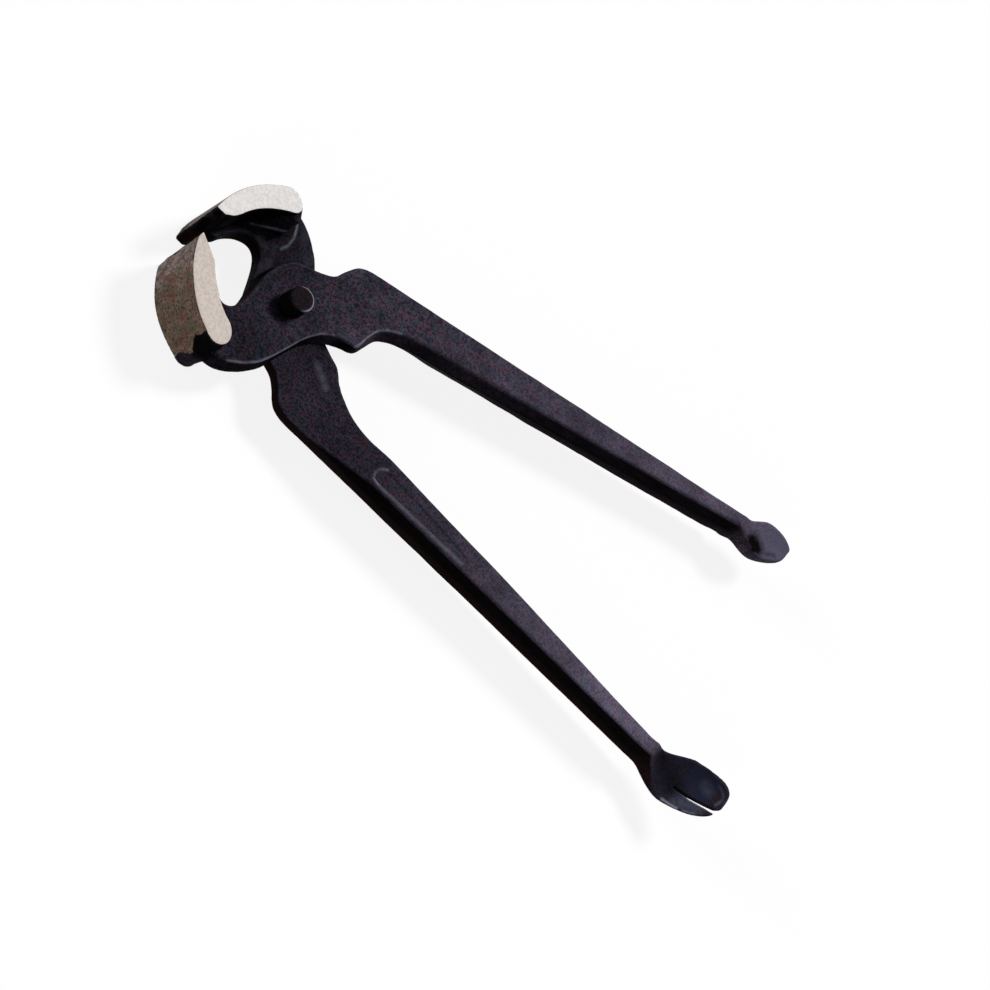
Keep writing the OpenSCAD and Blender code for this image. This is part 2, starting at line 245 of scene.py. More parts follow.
def swell(u, w0, w1, peak, e):
    """Half width of a handle's end at the share u of its length."""
    u = np.clip(u, -1, 1)
    t = np.clip(u / peak, 0, 1)
    tail = np.clip((u - peak) / (1 - peak), 0, 1)
    return np.where(u < peak, w0 + (w1 - w0) * t * t * (3 - 2 * t), w1 * (1 - tail ** e) ** (1 / e))


def end_plan(end, x, y):
    """Plan field of a handle's end, claw or leaf."""
    length, neck, y0, y_start = end["length"], end["neck"], end["middle"], end["neck_middle"]
    us = np.sin(np.linspace(0, math.pi / 2, 30))
    inner, outer = (swell(k + (1 - k) * us, neck, end["half"], end["peak"], e)
                    for e, k in zip(end["blunt"], end["lean"]))
    px = END_START + length * us
    py = y0 + end["drift"] * length * us + (y_start - y0) * (1 - step(us, 0, 0.45))
    back = END_START - 20  # inside the handle
    outline = np.concatenate([[(back, y_start + neck), (back, y_start - neck)],
                              np.stack([px, py - inner], 1), np.stack([px, py + outer], 1)[-2::-1]])
    return inside_distance(outline, x, y)[:, :, None]


def claw_field(x, y, z):
    """Dished claw with a slot, on the back lever. Its hollow side is the lever's mating side."""
    x3, y3, z3 = x[:, None, None], y[None, :, None], z[None, None, :]
    half, y0 = CLAW["half"], CLAW["middle"]
    u, side = x3 - END_START, y3 - y0
    # Its round face: level, slope and curve along it, twist and dish across it
    level, slope, curve, twist, dish = 5.44, 0.11, 0.0116, 0.37, 2.63
    face = level - slope * u - curve * u * u + twist * side - dish * (side / half) ** 2
    thick = np.minimum(2.46 + 7.8 * np.exp(-np.clip(u, -4, None) / CLAW["length"] / FADE), 11)
    thick = thick * (1 - 0.55 * step(side, 1.5, 7.5) * step(u, 3, 10))
    along, across = slope + 2 * curve * np.clip(u, 0, None), twist - 2 * dish * side / half ** 2
    steep = np.sqrt(1 + along ** 2 + across ** 2)
    shell = np.maximum(z3 - face, face - thick - z3) / steep
    field = both(end_plan(CLAW, x, y), shell, 0.7)
    # Slot, with a flared mouth
    root, mouth, lip = END_START + 14, END_START + 27.6, END_START + 30
    slot = np.array([(root, y0 + 1.75), (mouth, y0 + 1.75), (lip - 0.2, y0 + 1.0), (lip, y0 + 3.1),
                     (root, y0 + 1.95)])
    cut = inside_distance(slot, x, y)[:, :, None] - 0.12
    return both(field, -cut, 0.45)


def leaf_field(x, y, z):
    """Blunt leaf on the front lever: level with the handle on top, rising underneath."""
    x3, y3, z3 = x[:, None, None], y[None, :, None], z[None, None, :]
    u = np.clip(x3 - END_START + 0.6, -3, None)
    side = y3 - LEAF["middle"] - LEAF["drift"] * u
    along = -0.7 + 0.6 * np.exp(-u / 4.7) + 0.192 * u - 0.0024 * u * u
    middle = along + 0.18 * side + 0.91 * (side / LEAF["half"]) ** 2
    thick = 3.77 + 7.0 * np.exp(-u / LEAF["length"] / FADE)
    shell = np.abs(z3 - middle) - thick / 2
    tip = 0.947 * (x3 - 201.5) - 0.321 * (y3 - 18.1)
    return both(both(end_plan(LEAF, x, y), shell, 1.1), tip, 0.5)


def body_field(lever, x, y, z):
    """Lap and handle."""
    x3, z3 = x[:, None, None], z[None, None, :]

    def throat(points):
        return [(px, py - lever["dip"] * math.exp(-((px - DIP_X) / DIP_WIDTH) ** 2)
                 + np.interp(px, *zip(*lever["rise"]))) for px, py in points]

    top = inside_distance(smooth(throat(THROAT) + TOP_IN), x, y)
    middle = inside_distance(smooth(throat(MID_THROAT) + MID_IN + lever["tooth"] + MID_END), x, y)
    low_in = [(px, py + np.interp(px, *zip(*lever["low"]))) for px, py in LOW_IN]
    low = inside_distance(smooth(LOW_THROAT + low_in), x, y)
    s = np.clip(z3 / LAP_T, -1, 1)
    plan = np.where(z3 >= 0, middle[:, :, None] * (1 - s) + top[:, :, None] * s,
                    middle[:, :, None] * (1 + s) - low[:, :, None] * s)
    ramp = LAP_GAP - (HALF_H + LAP_GAP) * np.clip((x3 - RAMP_START) / (RAMP_END - RAMP_START), 0, 1)
    body = both(plan, z3 - LAP_T, 0.95)
    return both(body, ramp - z3, 0.4 + 0.55 * step(x3, RAMP_START, RAMP_END))


def lever_fields(lever):
    """Grid and field of one lever in its own frame, and the fields that mark its faces."""
    clawed = lever["clawed"]
    start, end_fine, start_fine, stop = GRID_X
    x = np.concatenate([np.arange(start, end_fine, FINE), np.arange(end_fine, start_fine, COARSE),
                        np.arange(start_fine, stop, FINE)])
    y, z = np.arange(*GRID_Y, FINE), np.arange(*GRID_Z, FINE)
    x3, y3, z3 = x[:, None, None], y[None, :, None], z[None, None, :]
    near, far_side = (-z3, z3) if clawed else (z3, -z3)

    # Jaw: an arched blade about its own middle
    bx, by = lever["blade"]
    r = np.hypot(x3 - bx, y3 - by)
    angle = np.degrees(np.arctan2(y3 - by, x3 - bx)) % 360
    a = math.radians(lever["root"])
    root = (x3 - bx) * -math.sin(a) + (y3 - by) * math.cos(a)
    root = root + lever["root_turn"] * (HALF_W - near) * (1 if clawed else -1)
    cut_r = lever["outer"] + near / HALF_W * (lever["flare"] * step(angle, 205, 235) - lever["tilt"])
    jaw = both(r - cut_r - lever["proud"], root, lever["root_out"])
    hollow = lever["inner"] + lever["thin"] * (1 - step(angle, 185, lever["thin_end"]))
    jaw = both(jaw, hollow - r, lever["root_in"] * step(angle, 225, 240) + 0.6)

    # Cutting edge: a crowned land and, inside it, a slope at 45 degrees
    lift = y3 - lever["edge"] - lever["slant"] * z3
    land = lever["land"]
    across = (x3 - bx + lever["outer"]) / land * 2 - 1
    crown = lever["bulge"] * (1 - np.minimum(across ** 2, 1.6))
    bevel = ((x3 - bx) + lever["outer"] - land + lift) * 0.7071
    jaw = both(jaw, both(lift - crown, bevel, 0.4 + 0.2 * land), lever["join"])
    if not clawed:  # the front blade is ground again outside its edge
        facet = -0.92 * (x3 + 38.45) + 0.39 * (y3 + 1.1 - 0.1 * (z3 - HALF_W))
        jaw = both(jaw, facet, 0.4)
    blade = np.maximum(both(jaw, np.abs(z3) - HALF_W - 0.5, 0.8), both(lift, far_side - HALF_W, 1.3))
    if clawed:  # its far end is rounded, less so away from the edge
        blade = np.maximum(blade, both(jaw, far_side - HALF_W, 1.9) - 1.6 * step(-lift, 2, 9))

    # Wall and web that join the jaw's root to the middle plane
    rib = inside_distance(smooth(RIB), x, y)[:, :, None]
    share = np.clip(-z3 / RIB_FADE, 0, 1) ** 0.5
    wall = both(rib * (1 - share) + jaw * share, np.abs(z3 - RIB_MIDDLE) - RIB_HALF, 0.4)
    web = inside_distance(np.array(WEB), x, y)[:, :, None]
    web = both(web, -0.048 * (x3 + 25) + 0.82 * (y3 + 14.4) - 0.572 * z3, 0.35)
    web = both(web, np.abs(z3 - WEB_MIDDLE) - WEB_HALF, 0.4)

    head = either(body_field(lever, x, y, z), blade, 2.6)
    head = either(head, wall, 1.0)
    head = either(head, web, 0.6)
    end = claw_field(x, y, z) if clawed else leaf_field(x, y, z)
    blend = step(x3, BLEND_START, BLEND_END)
    field = head * (1 - blend) + end * blend
    for height, size, seed in LUMPS:
        field = field + height * lumps(x, y, z, size, seed + lever["seed"])
    if clawed:
        sunk = both(inside_distance(smooth(PLATE, 4), x, y)[:, :, None], z3 + HALF_H - PLATE_DEPTH, 0.1)
        field = both(field, -sunk, 0.25)

    # Ground faces, only on the jaw's side of the hub, and the bore
    away = FAR_AWAY * (x3 > JAW_END)
    ends = np.abs(z3) - HALF_W - away
    ground = r - cut_r - away
    if clawed:
        nose = both(r - cut_r, far_side - HALF_W, 1.7) - 1.7 * step(-lift, 2, 8)
        ground = np.maximum(ground, nose - away)
    border = np.interp(z, *zip(*lever["border"]))[None, None, :]
    rim = ground - 0.5 * step(angle - border, -1, 2)
    bore = lever["bore"] - np.hypot(x3, y3)
    whole = np.maximum(np.maximum(field, ends), np.maximum(rim, bore)).astype(np.float32)
    # Marks: above zero on the ground end faces and on the ground outer face, from 0 at the cutting edge
    # to 1 at the jaw's root, and from 0 at the pivot to 1 at the handle's end
    marks = {
        "ends": ends - np.maximum(field, rim),
        "rim": np.minimum(ground - np.maximum(field, ends), (border - angle) / 4),
        "along": np.broadcast_to((angle - 180) / 65, whole.shape),
        "reach": np.broadcast_to(x3 / 210, whole.shape)}
    return x, y, z, whole, marks


# ---------------------------------------------------------------- meshes
CORNERS = [(i, j, k) for i in (0, 1) for j in (0, 1) for k in (0, 1)]
EDGES = [(a, b) for a in CORNERS for b in CORNERS if a < b and sum(abs(p - q) for p, q in zip(a, b)) == 1]


def skin(x, y, z, field):
    """Vertices, quads and grid places of the surface where the field is zero."""
    inner = field < 0
    count = np.zeros([n - 1 for n in field.shape], np.int8)
    for i, j, k in CORNERS:
        count += inner[i:inner.shape[0] - 1 + i, j:inner.shape[1] - 1 + j, k:inner.shape[2] - 1 + k]
    cells = np.argwhere((count > 0) & (count < 8))
    number = np.full(count.shape, -1, np.int32)
    number[tuple(cells.T)] = np.arange(len(cells))
    total, hits = np.zeros((len(cells), 3)), np.zeros(len(cells))
    for a, b in EDGES:
        va = field[tuple((cells + a).T)]
        vb = field[tuple((cells + b).T)]
        cross = (va < 0) != (vb < 0)
        t = np.where(cross, va / np.where(cross, va - vb, 1), 0)[:, None]
        total += np.where(cross[:, None], np.array(a) + t * (np.array(b) - np.array(a)), 0)
        hits += cross
    place = cells + total / hits[:, None]
    at = [np.interp(place[:, n], np.arange(len(v)), v) for n, v in enumerate((x, y, z))]
    quads = []
    for axis in range(3):
        u, v = (axis + 1) % 3, (axis + 2) % 3
        lower = [slice(None)] * 3
        upper = [slice(None)] * 3
        lower[axis], upper[axis] = slice(0, -1), slice(1, None)
        a, b = inner[tuple(lower)], inner[tuple(upper)]
        for flip, hit in ((False, a & ~b), (True, b & ~a)):
            node = np.argwhere(hit)
            corners = []
            for du, dv in ((0, 0), (1, 0), (1, 1), (0, 1)):
                c = node.copy()
                c[:, u] -= du
                c[:, v] -= dv
                corners.append(number[tuple(c.T)])
            quad = np.stack(corners, 1)
            quads.append(quad[:, ::-1] if flip else quad)
    return np.stack(at, 1), np.concatenate(quads), place


def sample(field, place):
    """The field's value at places given in grid steps."""
    low = np.clip(np.floor(place).astype(int), 0, np.array(field.shape) - 2)
    t = place - low
    total = 0
    for c in CORNERS:
        w = np.prod(np.where(np.array(c), t, 1 - t), axis=1)
        total = total + w * field[tuple((low + c).T)]
    return total


def mesh_object(name, points, quads, marks):
    """Smooth-shaded piece from points in mm, quads, and a value per point for each mark."""
    mesh = bpy.data.meshes.new(name)
    mesh.vertices.add(len(points))
    mesh.vertices.foreach_set("co", (np.asarray(points) * MM).astype(np.float32).ravel())
    mesh.loops.add(quads.size)
    mesh.loops.foreach_set("vertex_index", quads.astype(np.int32).ravel())
    mesh.polygons.add(len(quads))
    mesh.polygons.foreach_set("loop_start", np.arange(0, quads.size, 4, dtype=np.int32))
    mesh.polygons.foreach_set("loop_total", np.full(len(quads), 4, np.int32))
    mesh.update(calc_edges=True)
    mesh.validate()
    for key, values in marks.items():
        mesh.attributes.new(key, "FLOAT", "POINT").data.foreach_set("value", values.astype(np.float32))
    mesh.polygons.foreach_set("use_smooth", np.ones(len(mesh.polygons), bool))
    mesh.update()
    ob = bpy.data.objects.new(name, mesh)
    bpy.context.scene.collection.objects.link(ob)
    return ob


def turn(points, clawed):
    """From a lever's own frame to the part's frame, in mm."""
    p = points * (1, -1, -1) if clawed else points
    a = -OPEN if clawed else OPEN
    c, s = math.cos(a), math.sin(a)
    return p @ np.array([[c, s, 0], [-s, c, 0], [0, 0, 1]]) + PIVOT


def stroked(points, strokes):
    """How strongly each point is touched by lines with a width and a strength."""
    out = np.zeros(len(points))
    for width, strength, line in strokes:
        p = np.array(line, float)
        for a, b in zip(p, p[1:]):
            t = np.clip((points - a) @ (b - a) / ((b - a) @ (b - a)), 0, 1)
            away = np.linalg.norm(points - a - t[:, None] * (b - a), axis=1)
            out = np.maximum(out, strength * (1 - step(away, 0, width)))
    return out


MARK_LIMIT = 3


def build_lever(name, lever):
    """One lever, with the marks that its material reads."""
    x, y, z, whole, marks = lever_fields(lever)
    points, quads, place = skin(x, y, z, whole)
    values = {k: np.clip(sample(v, place), -MARK_LIMIT, MARK_LIMIT) for k, v in marks.items()}
    # How far the surface is from flat: above zero on ridges, below it in hollows
    reach = 3  # grid steps
    bend = -6.0 * whole[reach:-reach, reach:-reach, reach:-reach]
    for n in range(3):
        for way in (0, 2 * reach):
            cut = [slice(reach, -reach)] * 3
            cut[n] = slice(way, whole.shape[n] - 2 * reach + way)
            bend = bend + whole[tuple(cut)]
    values["ridge"] = np.clip(sample(bend, place - reach), -MARK_LIMIT, MARK_LIMIT)
    # 1 where the surface faces up in the part's frame
    rise = (whole[:, :, 2:] - whole[:, :, :-2]) / (2 * FINE)
    values["level"] = sample(rise, place - (0, 0, 1)) * (-1 if lever["clawed"] else 1)
    # Marks for lines partly rubbed and partly painted highlights, and for painted shade
    values["polish_and_highlight"] = stroked(points, lever["rubs_and_highlights"])
    values["painted_shade"] = stroked(points, lever["painted_shades"])
    return mesh_object(name, turn(points, lever["clawed"]), quads, values)


STUB_SIDE_TOP = 11.4  # below this height the stub's surface is its side
# Radius and height above the middle plane, from the back head's middle to the stub's
RIVET_PROFILE = [
    (0.02, -8.1), (2.0, -8.1), (4.6, -8.05), (5.8, -7.8), (6.4, -7.3), (6.5, -6.8), (6.2, -6.1), (5.4, -5.6),
    (4.3, -5.4), (4.2, -5.0), (4.2, 0), (4.2, 5.4), (4.2, 8), (4.2, 11.2), (4.15, 11.45), (4.02, 11.66),
    (3.85, 11.78), (3.6, 11.84), (3.0, 11.86), (1.5, 11.88), (0.02, 11.88)]
HIGHLIGHT_SIDE = (0.88, 0.47, 0)  # the side of the stub's rim that takes a painted highlight, towards the light


def build_rivet(name, profile, sides=96):
    """The rivet, turned on the pivot axis."""
    points, quads = [], []
    for r, h in profile:
        for i in range(sides):
            a = 2 * math.pi * i / sides
            points.append((r * math.cos(a), r * math.sin(a), h))
    for j in range(len(profile) - 1):
        for i in range(sides):
            k = (i + 1) % sides
            quads.append((j * sides + i, j * sides + k, (j + 1) * sides + k, (j + 1) * sides + i))
    points = np.array(points)
    # Painted highlight on the part of the rim that faces the light
    lit = (step(np.hypot(points[:, 0], points[:, 1]), 3.55, 3.9) * step(points[:, 2], 11.2, 11.5)
           * step(points @ HIGHLIGHT_SIDE / RIVET_R, -0.3, 0.6))
    # The stub's side, which the material paints darker as shade
    side = (points[:, 2] < STUB_SIDE_TOP).astype(float)
    return mesh_object(name, points + PIVOT, np.array(quads), {"polish_and_highlight": lit, "side": side})


front = build_lever("front_lever_forging", FRONT)
back = build_lever("back_lever_forging", BACK)
rivet = build_rivet("pivot_rivet_stud", RIVET_PROFILE)


# ---------------------------------------------------------------- materials
CURVE_TOP = 5  # the highest value that Shader.curve gives


class Shader:
    """Short calls for building a node tree."""

    def __init__(self, name):
        self.mat = bpy.data.materials.new(name)
        self.mat.use_nodes = True
        self.nodes, self.links = self.mat.node_tree.nodes, self.mat.node_tree.links
        self.bsdf = self.nodes["Principled BSDF"]
        self.where = self.nodes.new("ShaderNodeTexCoord").outputs["Object"]

    def put(self, socket, value):
        """Link a socket to another one or set its value."""
        if isinstance(value, bpy.types.NodeSocket):
            self.links.new(value, socket)
        else:
            socket.default_value = value

    def noise(self, size, detail, rough, stretch=None, warp=0.0):
        """Noise whose features are about size mm."""
        n = self.nodes.new("ShaderNodeTexNoise")
        n.inputs["Scale"].default_value = 1 / MM / size
        n.inputs["Detail"].default_value = detail
        n.inputs["Roughness"].default_value = rough
        n.inputs["Distortion"].default_value = warp
        if stretch:
            m = self.nodes.new("ShaderNodeMapping")
            m.inputs["Scale"].default_value = stretch
            self.links.new(self.where, m.inputs["Vector"])
            self.links.new(m.outputs["Vector"], n.inputs["Vector"])
        else:
            self.links.new(self.where, n.inputs["Vector"])
        return n.outputs["Fac"]

    def math(self, op, a, b=0.0, c=0.0):
        n = self.nodes.new("ShaderNodeMath")
        n.operation = op
        for s, v in zip(n.inputs, (a, b, c)):
            self.put(s, v)
        return n.outputs[0]

    def ramp(self, value, lo, hi, a=0.0, b=1.0):
        """Smooth change from a at lo to b at hi."""
        n = self.nodes.new("ShaderNodeMapRange")
        n.interpolation_type = "SMOOTHSTEP"
        self.put(n.inputs["Value"], value)
        for key, v in (("From Min", lo), ("From Max", hi), ("To Min", a), ("To Max", b)):
            self.put(n.inputs[key], v)
        return n.outputs[0]

    def curve(self, value, stops):
        """Straight lines between (place, value) stops, values up to CURVE_TOP."""
        lo, hi = stops[0][0], stops[-1][0]
        n = self.nodes.new("ShaderNodeValToRGB")
        self.put(n.inputs[0], self.math("DIVIDE", self.math("SUBTRACT", value, lo), hi - lo))
        for i, (at, v) in enumerate(stops):
            spot = (at - lo) / (hi - lo)
            stop = n.color_ramp.elements[i] if i < 2 else n.color_ramp.elements.new(spot)
            stop.position, stop.color = spot, (v / CURVE_TOP, v / CURVE_TOP, v / CURVE_TOP, 1)
        return self.math("MULTIPLY", n.outputs[0], CURVE_TOP)

    def mark(self, name):
        """A value kept on the mesh's points."""
        n = self.nodes.new("ShaderNodeAttribute")
        n.attribute_name = name
        return n.outputs["Fac"]

    def height(self):
        """Height in the part's frame, in metres."""
        n = self.nodes.new("ShaderNodeSeparateXYZ")
        self.links.new(self.where, n.inputs[0])
        return n.outputs["Z"]

    def mix(self, fac, a, b, kind="MIX"):
        """Mix of two colours."""
        n = self.nodes.new("ShaderNodeMix")
        n.data_type = "RGBA"
        n.blend_type = kind
        self.put(n.inputs[0], fac)
        self.put(n.inputs[6], a)
        self.put(n.inputs[7], b)
        return n.outputs[2]

    def mixf(self, fac, a, b):
        """Mix of two numbers."""
        n = self.nodes.new("ShaderNodeMix")
        self.put(n.inputs[0], fac)
        self.put(n.inputs[2], a)
        self.put(n.inputs[3], b)
        return n.outputs[0]

    def bump(self, height, distance, strength, after=None):
        """Bump of a distance in mm."""
        n = self.nodes.new("ShaderNodeBump")
        self.put(n.inputs["Strength"], strength)
        n.inputs["Distance"].default_value = distance * MM
        self.put(n.inputs["Height"], height)
        if after is not None:
            self.put(n.inputs["Normal"], after)
        return n.outputs["Normal"]


def srgb(r, g, b):
    """Linear colour from sRGB values up to 255."""
    lin = [c / 255 / 12.92 if c <= 10 else ((c / 255 + 0.055) / 1.055) ** 2.4 for c in (r, g, b)]
    return (*lin, 1.0)


# Forge scale on the faces that look up
BLUISH, REDDISH, VIOLET, WORN = srgb(36, 43, 52), srgb(58, 40, 51), srgb(54, 51, 65), srgb(48, 44, 54)
# The darkest colour is painted shade, for shadows and shaded hollows
PITS, SHADE_BLACK = srgb(9, 8, 11), srgb(8, 6, 7)
# Scale on the walls, painted far darker than on the tops as shade
SHADED_WALL_BLACK, SHADED_WALL_BROWN, WALL_PITS = srgb(7, 6, 8), srgb(14, 8, 8), srgb(5, 4, 5)
# Ridges and lines rubbed bright
# Worn ridges, lines partly rubbed bright and partly painted highlights, and the rivet's painted rim highlight
RIDGE, RUBBED_AND_HIGHLIGHT, RIM_HIGHLIGHT = srgb(96, 96, 112), srgb(140, 142, 160), srgb(150, 150, 166)
# Ground outer face of the blades
PALE_REFLECTION, BROWN = (srgb(140, 122, 120), srgb(180, 160, 158)), (srgb(110, 88, 76), srgb(144, 120, 104))
RUST, MOSS, BLADE_PITS = srgb(122, 78, 66), srgb(86, 96, 76), srgb(52, 41, 36)
# The rivet; its side colour is painted shade
STUD_BLUISH, STUD_REDDISH = srgb(24, 28, 32), srgb(40, 28, 32)
STUD_PITS, STUD_SIDE_SHADE = srgb(8, 7, 9), srgb(6, 5, 7)
SHEEN = 0.005  # specular level: the scale is almost without reflections
BOUNCE_LOW, BOUNCE_HIGH = 0.0065, 0.012  # heights in m between which the walls lose their lighter foot, which is painted light bounced from the floor


def forged(name, ground_ends, blade_tone, end_tint, end_share, wall_foot_bounce, end_wall_lit, painted_light_curve):
    """Black forge scale, with bare ground faces where the marks say so."""
    m = Shader(name)
    cloud = m.noise(16, 4, 0.6)
    hue = m.noise(2.2, 3, 0.55)
    fine = m.noise(0.72, 3, 0.7)
    reach = m.mark("reach")
    # Faces that look up
    scale = m.mix(m.ramp(hue, 0.32, 0.68), BLUISH, REDDISH)
    scale = m.mix(m.ramp(m.noise(4.5, 5, 0.7, warp=0.6), 0.42, 0.62, 0.0, 0.6), scale, VIOLET)
    scale = m.mix(m.ramp(reach, 0.2, 0.7, 0.0, 0.6), scale, WORN)
    speck = m.ramp(reach, 0.0, 0.75, 0.85, 0.5)
    scale = m.mix(m.math("MULTIPLY", m.ramp(fine, 0.38, 0.6, 1.0, 0.0), speck), scale, PITS)
    # Painted light: brightness of the tops along the lever, mostly rising towards the handles' ends, standing
    # in for the lamps' sheen
    painted_light = m.math("MULTIPLY", m.curve(reach, painted_light_curve), m.ramp(cloud, 0.3, 0.7, 0.75, 1.25))
    top = m.mix(1.0, scale, painted_light, "MULTIPLY")
    mottle = m.ramp(m.noise(7.0, 4, 0.6), 0.40, 0.58, end_share, 0.95)
    top = m.mix(m.math("MULTIPLY", m.ramp(reach, 0.88, 0.95), mottle), top, end_tint)
    # Walls
    wall = m.mix(m.ramp(hue, 0.4, 0.6), SHADED_WALL_BLACK, SHADED_WALL_BROWN)
    # Painted bounce light: walls lighter towards their foot
    wall = m.mix(m.ramp(m.height(), BOUNCE_LOW, BOUNCE_HIGH, 0.8, 0.0), wall, wall_foot_bounce)
    # Painted light: walls near the handles' ends lighter
    wall = m.mix(m.ramp(reach, 0.85, 0.9, 0.0, 0.8), wall, end_wall_lit)
    wall = m.mix(m.ramp(fine, 0.4, 0.56, 0.7, 0.0), wall, WALL_PITS)
    # Painted shade: walls take the darker wall colours, faces that look up take the scale
    base = m.mix(m.ramp(m.mark("level"), 0.15, 0.5), wall, top)
    # Wear on ridges, and lines that are partly rubbed bright and partly painted highlights and sheen
    patchy = m.ramp(m.noise(3.4, 5, 0.65), 0.4, 0.6, 0.15, 1.0)
    ridge = m.math("MULTIPLY", m.ramp(m.mark("ridge"), 0.35, 1.1), patchy)
    base = m.mix(m.math("MULTIPLY", ridge, 0.12), base, RIDGE)
    polish_and_highlight = m.math("MULTIPLY", m.mark("polish_and_highlight"), m.ramp(m.noise(1.8, 5, 0.65), 0.3, 0.6, 0.45, 1.0))
    base = m.mix(polish_and_highlight, base, RUBBED_AND_HIGHLIGHT)
    # Ground blade: brownish grey, paler towards the cutting edge and warmer and darker towards the root; the
    # fade from pale to brown is painted reflection
    rub = m.noise(2.0, 5, 0.65, stretch=(1, 1, 0.35))
    pale, brown = (m.mix(m.ramp(rub, 0.3, 0.7), *pair) for pair in (PALE_REFLECTION, BROWN))
    reflection_fade = m.math("MULTIPLY_ADD", m.noise(7, 3, 0.5), 0.5, m.math("SUBTRACT", m.mark("along"), 0.25))
    blade = m.mix(m.ramp(reflection_fade, 0.05, 0.5), pale, brown)
    blade = m.mix(m.ramp(m.noise(4.0, 5, 0.66), 0.48, 0.58, 0.0, 0.75), blade, RUST)
    blade = m.mix(m.ramp(m.noise(3.4, 5, 0.68, warp=0.4), 0.5, 0.6, 0.0, 0.7), blade, MOSS)
    blade = m.mix(m.ramp(fine, 0.36, 0.54, 0.9, 0.0), blade, BLADE_PITS)
    blade = m.mix(1.0, blade, (blade_tone, blade_tone, blade_tone, 1), "MULTIPLY")
    ragged = m.math("MULTIPLY_ADD", m.noise(3.0, 5, 0.65), 1.2, -0.6)
    on_rim = m.ramp(m.math("ADD", m.mark("rim"), ragged), -0.02, 0.10)
    # Bare ground ends of the jaws
    bare = m.mix(m.ramp(m.noise(0.9, 4, 0.7), 0.38, 0.62), *ground_ends)
    on_end = m.ramp(m.mark("ends"), -0.02, 0.10)
    colour = m.mix(on_rim, base, blade)
    # Painted shade: dark patches where shadows fall and hollows lie in shade
    colour = m.mix(m.math("MULTIPLY", m.mark("painted_shade"), m.ramp(hue, 0.3, 0.6, 1.0, 0.75)), colour, SHADE_BLACK)
    colour = m.mix(on_end, colour, bare)
    m.put(m.bsdf.inputs["Base Color"], colour)
    rough = m.mixf(polish_and_highlight, m.ramp(cloud, 0.3, 0.7, 0.55, 0.66), 0.4)
    rough = m.mixf(on_rim, rough, m.ramp(rub, 0.3, 0.7, 0.42, 0.6))
    m.put(m.bsdf.inputs["Roughness"], m.mixf(on_end, rough, 0.6))
    m.put(m.bsdf.inputs["Metallic"], m.mixf(on_rim, 0.0, 0.3))
    m.bsdf.inputs["Specular IOR Level"].default_value = SHEEN
    grain = m.bump(fine, 0.12, m.mixf(on_end, 0.6, 0.12))
    grain = m.bump(m.noise(1.6, 3, 0.6), 0.25, m.mixf(on_end, 0.4, 0.05), grain)
    m.put(m.bsdf.inputs["Normal"], grain)
    return m.mat


def stud():
    """The rivet: black, with a painted highlight on its rim and painted shade on its side."""
    m = Shader("rivet_scale")
    hue = m.noise(2.2, 3, 0.6)
    fine = m.noise(0.6, 4, 0.7)
    base = m.mix(m.ramp(hue, 0.36, 0.64), STUD_BLUISH, STUD_REDDISH)
    base = m.mix(m.ramp(fine, 0.36, 0.6, 0.9, 0.0), base, STUD_PITS)
    # Painted shade on the stub's side
    base = m.mix(m.math("MULTIPLY", m.mark("side"), 0.75), base, STUD_SIDE_SHADE)
    # Painted highlight on the rim
    polish_and_highlight = m.math("MULTIPLY", m.mark("polish_and_highlight"), m.ramp(fine, 0.3, 0.55, 0.5, 0.9))
    m.put(m.bsdf.inputs["Base Color"], m.mix(polish_and_highlight, base, RIM_HIGHLIGHT))
    m.put(m.bsdf.inputs["Roughness"], m.ramp(hue, 0.3, 0.7, 0.6, 0.7))
    m.bsdf.inputs["Specular IOR Level"].default_value = SHEEN
    m.put(m.bsdf.inputs["Normal"], m.bump(fine, 0.1, 0.5))
    return m.mat


# The last list for each lever is painted light: brightness of the tops along the lever
front.data.materials.append(forged(
    "front_scale", (srgb(192, 180, 172), srgb(208, 197, 189)), 1.0,
    srgb(82, 80, 98), 0.4, srgb(62, 50, 62), srgb(112, 98, 116),
    [(-0.2, 0.8), (-0.06, 0.85), (0, 0.95), (0.08, 1.5), (0.36, 1.9), (0.58, 2.2), (0.9, 3.3), (1.05, 3.3)]))
back.data.materials.append(forged(
    "back_scale", (srgb(212, 208, 205), srgb(228, 225, 222)), 0.7,
    srgb(36, 39, 58), 0.0, srgb(44, 25, 22), srgb(44, 30, 30),
    [(-0.2, 0.35), (-0.07, 0.5), (0.1, 0.85), (0.17, 0.95), (0.29, 1.05), (0.5, 1.9), (0.77, 3.9),
     (0.857, 3.4), (0.888, 0.9), (0.92, 0.75), (1.05, 1.1)]))
rivet.data.materials.append(stud())

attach(front, "front")
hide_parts("front_lever")
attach(back, "back")
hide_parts("back_lever")
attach(rivet, "back")
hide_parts("pivot_rivet")


# ---------------------------------------------------------------- floor, light and camera
FLOOR_HALF, FLOOR_DROP = 3.0, 0.0003  # in metres
FLOOR_GREY, FLOOR_PALE = (0.3, 0.3, 0.3, 1), (0.95, 0.95, 0.95, 1)
FLOOR_GLOW = 0.87  # how much of the seen floor is its own glow


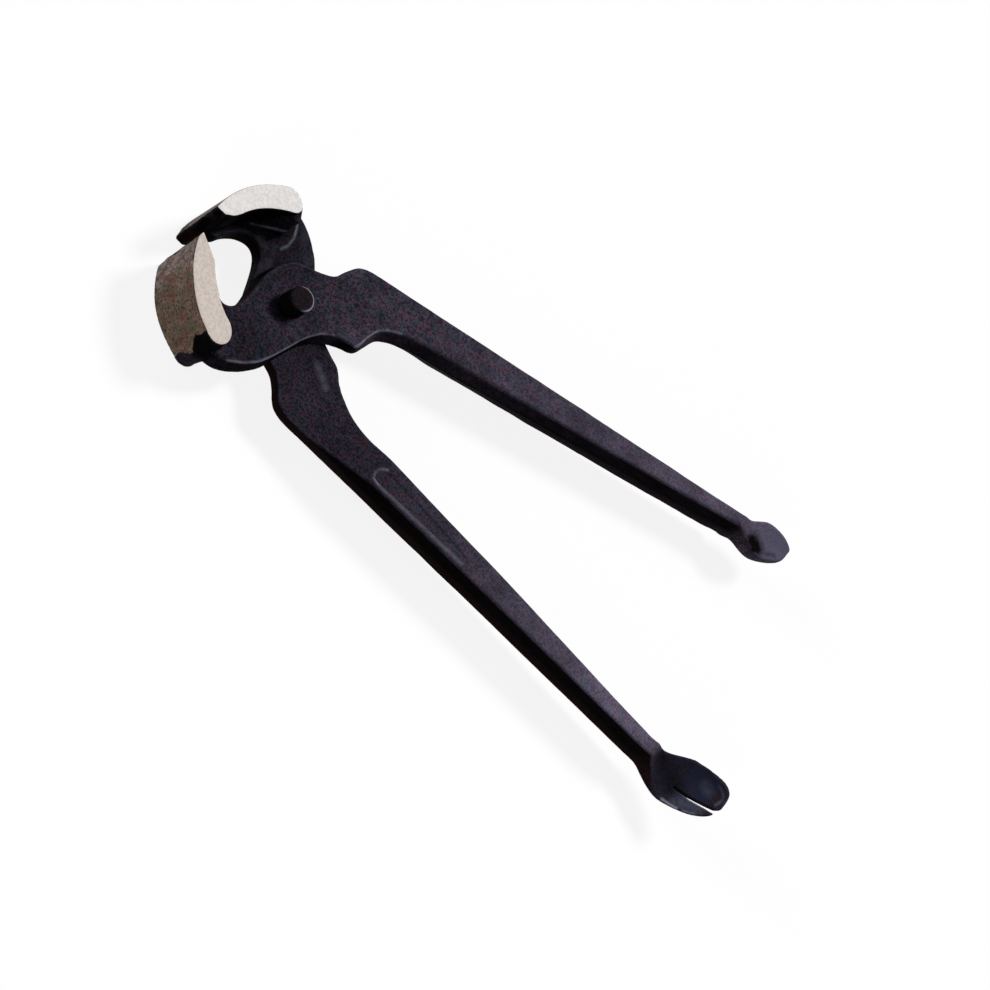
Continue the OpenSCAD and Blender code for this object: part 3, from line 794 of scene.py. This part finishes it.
def floor():
    """Pale floor. Seen directly it is near white, but it lights the object as a darker grey."""
    size = FLOOR_HALF
    mesh = bpy.data.meshes.new("floor")
    corners = [(-size, -size, 0), (size, -size, 0), (size, size, 0), (-size, size, 0)]
    mesh.from_pydata(corners, [], [(0, 1, 2, 3)])
    ob = bpy.data.objects.new("floor", mesh)
    bpy.context.scene.collection.objects.link(ob)
    ob.location.z = -FLOOR_DROP
    m = Shader("floor_white")
    m.bsdf.inputs["Roughness"].default_value = 0.8
    m.bsdf.inputs["Specular IOR Level"].default_value = 0.0
    path = m.nodes.new("ShaderNodeLightPath")
    seen = m.math("MAXIMUM", path.outputs["Is Camera Ray"], path.outputs["Is Glossy Ray"])
    seen = m.math("MAXIMUM", seen, path.outputs["Is Transmission Ray"])
    m.put(m.bsdf.inputs["Base Color"], m.mix(seen, FLOOR_GREY, FLOOR_PALE))
    glow = m.nodes.new("ShaderNodeEmission")
    glow.inputs["Color"].default_value = (1, 1, 1, 1)
    blend = m.nodes.new("ShaderNodeMixShader")
    m.put(blend.inputs[0], m.math("MULTIPLY", seen, FLOOR_GLOW))
    m.links.new(m.bsdf.outputs[0], blend.inputs[1])
    m.links.new(glow.outputs[0], blend.inputs[2])
    m.links.new(blend.outputs[0], m.nodes["Material Output"].inputs["Surface"])
    mesh.materials.append(m.mat)


def sun(name, place, strength, spread):
    """Soft studio light from the direction of place, with its spread in degrees."""
    light = bpy.data.lights.new(name, "SUN")
    light.energy = strength
    light.angle = math.radians(spread)
    ob = bpy.data.objects.new(name, light)
    ob.rotation_euler = Vector(place).to_track_quat("Z", "Y").to_euler()
    bpy.context.scene.collection.objects.link(ob)


def studio():
    """World: dim for the object, white where the camera sees it."""
    world = bpy.data.worlds.new("studio")
    bpy.context.scene.world = world
    world.use_nodes = True
    nodes, links = world.node_tree.nodes, world.node_tree.links
    nodes.clear()
    out = nodes.new("ShaderNodeOutputWorld")
    dim = nodes.new("ShaderNodeBackground")
    dim.inputs["Color"].default_value = (0.05, 0.05, 0.052, 1)
    white = nodes.new("ShaderNodeBackground")
    white.inputs["Color"].default_value = (1, 1, 1, 1)
    pick = nodes.new("ShaderNodeMixShader")
    ray = nodes.new("ShaderNodeLightPath")
    links.new(ray.outputs["Is Camera Ray"], pick.inputs[0])
    links.new(dim.outputs[0], pick.inputs[1])
    links.new(white.outputs[0], pick.inputs[2])
    links.new(pick.outputs[0], out.inputs["Surface"])


# Camera found from the photo's outlines: its axes as rows, and its place in mm from the pivot
CAMERA_LENS, CAMERA_SENSOR = 100.6525, 36.0
CAMERA_AXES = np.array([[0.728579, 0.359621, 0.582962], [-0.58027, 0.776274, 0.246342],
                        [-0.363949, -0.517756, 0.774255]])
CAMERA_PLACE = np.array([-228.17, -459.16, 679.91])


def place_camera():
    """The camera of the photo."""
    camera = bpy.data.cameras.new("camera")
    camera.lens, camera.sensor_width = CAMERA_LENS, CAMERA_SENSOR
    camera.sensor_fit = "HORIZONTAL"
    eye = bpy.data.objects.new("camera", camera)
    spot = (CAMERA_PLACE + PIVOT) * MM
    eye.matrix_world = Matrix([[*row, at] for row, at in zip(CAMERA_AXES.T, spot)] + [[0, 0, 0, 1]])
    bpy.context.scene.collection.objects.link(eye)
    bpy.context.scene.camera = eye


floor()
sun("key", (0.40, 0.62, 0.85), 3.35, 14)
sun("side", (-1.0, 0.1, 0.4), 0.85, 20)
sun("fill", (-0.25, -1.0, 0.45), 0.6, 50)
studio()
place_camera()
bpy.context.scene.view_settings.view_transform = "Standard"
